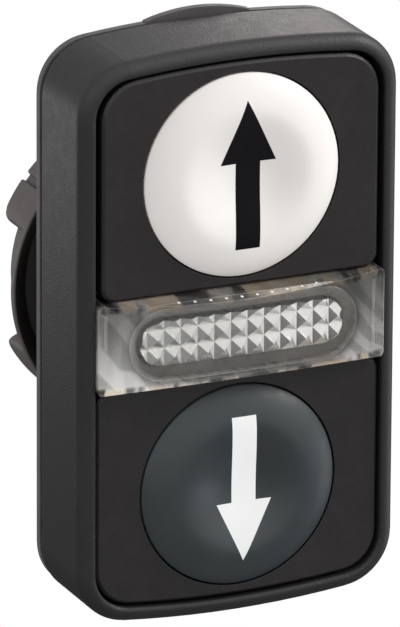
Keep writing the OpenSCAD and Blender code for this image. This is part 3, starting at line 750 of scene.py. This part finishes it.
def build_spring(side):
    """A coil on the head, with a mesh of its own. The real spring shortens as its cap
    comes in; this one is built at one length.
    """
    s = SIGN[side]
    node = side + "_return_spring"
    low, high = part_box(node)
    foot, top = -high.y * 1000, -low.y * 1000
    count = round(TURNS * TURN_STEPS)
    dead_rise = DEAD * 2 * WIRE_R
    live = top - foot - 2 * WIRE_R - 2 * dead_rise
    rings = []
    for i in range(count + 1):
        turn = TURNS * i / count
        rise = min(turn, DEAD) * 2 * WIRE_R + max(0.0, turn - TURNS + DEAD) * 2 * WIRE_R
        rise += live * clamp((turn - DEAD) / (TURNS - 2 * DEAD))
        a = 2 * math.pi * turn
        ring = []
        for j in range(WIRE_SIDES):
            b = 2 * math.pi * j / WIRE_SIDES
            r = SPRING_R + WIRE_R * math.cos(b)
            z = foot + WIRE_R + rise + WIRE_R * math.sin(b)
            ring.append((s * r * math.cos(a), s * (CAP_Y + r * math.sin(a)), z))
        rings.append(ring)
    bm = bmesh.new()
    made = skin(bm, rings)
    bm.faces.new(made[0])
    bm.faces.new(made[-1])
    coil = finish_piece(bm, side + "_coil", node, "head", sharp=50)
    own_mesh(coil)


# Barrel: radii and depths of its steps; the thread's pitch, half its crest and its flank
# in parts of the pitch, and its runout at the neck; and the keyway along the top, with
# the small angle that keeps the columns round the barrel clear of it
NECK_R, THREAD_R, ROOT_R, SPIGOT_R, BARREL_R, GUIDE_R = 11.0, 10.7, 10.25, 10.2, 9.3, 9.5
BASE_Z, NECK_Z, THREAD_Z, SPIGOT_Z, BARREL_Z, GUIDE_Z = 1.4, -3.0, -12.6, -15.1, -15.5, -12.2
SPIGOT_BEVEL = 0.4
THREAD_PITCH, THREAD_CREST, THREAD_FLANK, THREAD_RUNOUT = 1.5, 0.14, 0.22, 0.5
KEY_HALF, KEY_Y, KEY_STEPS, KEY_LIP = 1.6, 10.1, 4, 0.004
BARREL_SIDES, THREAD_STEP = 180, 0.12


def thread_radius(z, a):
    phase = (z / THREAD_PITCH - a / (2 * math.pi)) % 1.0
    flank = clamp((abs(phase - 0.5) - THREAD_CREST) / THREAD_FLANK)
    fade = clamp((NECK_Z - z) / THREAD_RUNOUT)
    return THREAD_R - (THREAD_R - ROOT_R) * flank * fade


def barrel_columns():
    """Each column's angle, and the x and y it takes where the keyway is cut. The first
    ones go round the barrel, and the last ones along the keyway's floor."""
    lip = math.pi / 2 - math.atan2(KEY_Y, KEY_HALF) + KEY_LIP
    turn = (2 * math.pi - 2 * lip) / BARREL_SIDES
    columns = [(math.pi / 2 + lip, -KEY_HALF, None)]
    columns += [(math.pi / 2 + lip + turn * i, None, None) for i in range(1, BARREL_SIDES)]
    columns.append((math.pi / 2 - lip, KEY_HALF, None))
    for k in range(2 * KEY_STEPS + 1):
        x = KEY_HALF * (1 - k / KEY_STEPS)
        columns.append((math.atan2(KEY_Y, x), x, KEY_Y))
    return columns


def build_barrel():
    # Each ring's depth, its radius, which is None on the thread, and whether it is keyed
    rings = [(BASE_Z, THREAD_R, False), (0.0, THREAD_R, False)]
    rings += [(0.0, NECK_R, True), (NECK_Z, NECK_R, True)]
    count = int((NECK_Z - THREAD_Z) / THREAD_STEP)
    for k in range(count + 1):
        rings.append((NECK_Z + (THREAD_Z - NECK_Z) * k / count, None, True))
    rings += [(THREAD_Z, SPIGOT_R, False), (SPIGOT_Z, SPIGOT_R, False)]
    rings += [(BARREL_Z, SPIGOT_R - SPIGOT_BEVEL, False), (BARREL_Z, GUIDE_R, False)]
    rings += [(GUIDE_Z, GUIDE_R, False), (GUIDE_Z, BARREL_R, False)]
    rings.append((BASE_Z, BARREL_R, False))
    columns = barrel_columns()
    rows = []
    for z, radius, keyed in rings:
        row = []
        for a, x, y in columns:
            r = thread_radius(z, a) if radius is None else radius
            if keyed and x is not None:
                row.append((x, y or math.sqrt(r * r - x * x), z))
            else:
                row.append((r * math.cos(a), r * math.sin(a), z))
        rows.append(row)
    bm = bmesh.new()
    skin(bm, rows, loop=True)
    finish_piece(bm, "threaded_barrel", "barrel", "head", sharp=35)


# Nut: depths are measured from the flange's front to the rear. Its cone rises from the
# flange to the lugs
NUT_BACK, NUT_L, BORE_R, CORE_R, LUG_R, RIM_R = 6.8, 5.6, 10.75, 11.95, 13.95, 14.05
FLANGE_T, CONE_END, RIM_IN_R, DISH_IN_R, DISH_D = 0.7, 2.5, 13.9, 12.3, 1.6
CONE = (CONE_END - FLANGE_T) / (RIM_R - CORE_R)

# Lugs: their number, and their width and first place in degrees; the rounds of their
# outer and rear corners; the bevel of their edge and how much of it a point in its middle
# keeps; and their length along the arc
LUGS, LUG_ANGLE, LUG_TURN, LUG_ROUND, LUG_CORNER = 4, 43.5, 136.25, 0.6, 1.5
LUG_EDGE, LUG_BULGE = 0.4, 0.3
LUG_ARC = math.radians(LUG_ANGLE) * LUG_R

# A groove along each lug, aside from its middle, with steep walls and rounded lips
GROOVE_TURN, GROOVE_HALF, GROOVE_D, GROOVE_LIP = 4.15, 0.35, 0.4, 0.24
GROOVE_ASIDE = math.radians(GROOVE_TURN) * LUG_R
GROOVE_WALL = 0.01

# Where a lug's columns stand: at its ends, round the groove, and evenly in between, clear
# of both; and how many steps cross the gap to the next lug
END_STEPS, END_STOPS = 8, [1.05, 1.2, 1.35, LUG_CORNER]
LIP_STEPS = 5
FREE_FIRST, FREE_STEP, FREE_COUNT = 2.0, 0.4, 17
FREE_OFF_LIP, FREE_OFF_END = 0.1, 1.7
GAP_STEPS = 46


def rounding(inside, radius):
    """How far a corner of this radius falls back at a distance inside its end."""
    left = max(0.0, radius - inside)
    return radius - math.sqrt(radius * radius - left * left)


def lug_column(p):
    """Outer radius and rear depth of a lug at arc length p from its start."""
    inside = min(p, LUG_ARC - p)
    aside = abs(p - LUG_ARC / 2 - GROOVE_ASIDE)
    cut = GROOVE_D if aside < GROOVE_HALF else rounding(aside - GROOVE_HALF, GROOVE_LIP)
    return LUG_R - rounding(inside, LUG_ROUND) - cut, NUT_L - rounding(inside, LUG_CORNER)


def lug_stops():
    """Arc lengths from a lug's start at which its columns stand."""
    turns = [math.pi * k / (2 * END_STEPS) for k in range(END_STEPS + 1)]
    ends = [LUG_ROUND * (1 - math.cos(a)) for a in turns] + END_STOPS
    groove = LUG_ARC / 2 + GROOVE_ASIDE
    lips = [GROOVE_HALF - GROOVE_WALL, GROOVE_HALF]
    lips += [GROOVE_HALF + GROOVE_LIP * k / LIP_STEPS for k in range(1, LIP_STEPS + 1)]
    stops = ends + [LUG_ARC - v for v in ends]
    stops += [groove + v for v in lips] + [groove - v for v in lips]
    for k in range(FREE_COUNT):
        v = FREE_FIRST + FREE_STEP * k
        off_lips = abs(v - groove) > GROOVE_HALF + GROOVE_LIP + FREE_OFF_LIP
        if off_lips and v < LUG_ARC - FREE_OFF_END:
            stops.append(v)
    return sorted(stops)


def nut_outline(r, rear):
    """Radius and depth of the points of a column. Between two lugs rear is None, and the
    five points that shape a lug meet at its foot."""
    if rear is None:
        lug = [(CORE_R, CONE_END)] * 5
    else:
        bulge = LUG_BULGE * LUG_EDGE
        lug = [
            (CORE_R, rear),
            (r - LUG_EDGE, rear),
            (r - bulge, rear - bulge),
            (r, rear - LUG_EDGE),
            (r, FLANGE_T + (RIM_R - r) * CONE),
        ]
    flange = [(RIM_R, FLANGE_T), (RIM_R, 0), (RIM_IN_R, 0), (DISH_IN_R, DISH_D)]
    return [(BORE_R, NUT_L), (CORE_R, NUT_L)] + lug + flange + [(BORE_R, DISH_D)]


def build_nut():
    gap = 360 / LUGS - LUG_ANGLE
    rows = []
    for i in range(LUGS):
        start = LUG_TURN - LUG_ANGLE / 2 + 360 / LUGS * i
        columns = [(start + math.degrees(p / LUG_R), *lug_column(p)) for p in lug_stops()]
        for k in range(GAP_STEPS + 1):
            columns.append((start + LUG_ANGLE + gap * k / GAP_STEPS, CORE_R, None))
        for turn, r, rear in columns:
            x, y = math.cos(math.radians(turn)), math.sin(math.radians(turn))
            rows.append([(q * x, q * y, -NUT_BACK - d) for q, d in nut_outline(r, rear)])
    bm = bmesh.new()
    skin(bm, rows, loop=True)
    finish_piece(bm, "lugged_nut", "fixing_nut", "nut", sharp=35)


# Plain pale floor, well below because the button hangs in a panel. It only throws light
# back: what is seen round the object stays the white of the world
FLOOR_Z, FLOOR_HALF = -0.4, 0.3
FLOOR_NOISE, FLOOR_GREYS, FLOOR_ROUGH = (6, 2), (0.76, 0.8), 0.9


def build_floor():
    mesh = bpy.data.meshes.new("floor")
    corners = [(-1, -1), (1, -1), (1, 1), (-1, 1)]
    points = [(FLOOR_HALF * x, FLOOR_HALF * y, FLOOR_Z) for x, y in corners]
    mesh.from_pydata(points, [], [(0, 1, 2, 3)])
    m = Material("floor_paint")
    m.put(m.mottle(FLOOR_NOISE, *FLOOR_GREYS), m.shader["Base Color"])
    m.put(FLOOR_ROUGH, m.shader["Roughness"])
    mesh.materials.append(m.mat)
    floor = bpy.data.objects.new("floor", mesh)
    floor.visible_camera = False
    floor.visible_glossy = False
    scene.collection.objects.link(floor)


for build in (build_cap, build_arrow, build_spring):
    for side in SIGN:
        build(side)
build_barrel()
build_nut()
build_floor()

scene.view_settings.view_transform = "Standard"
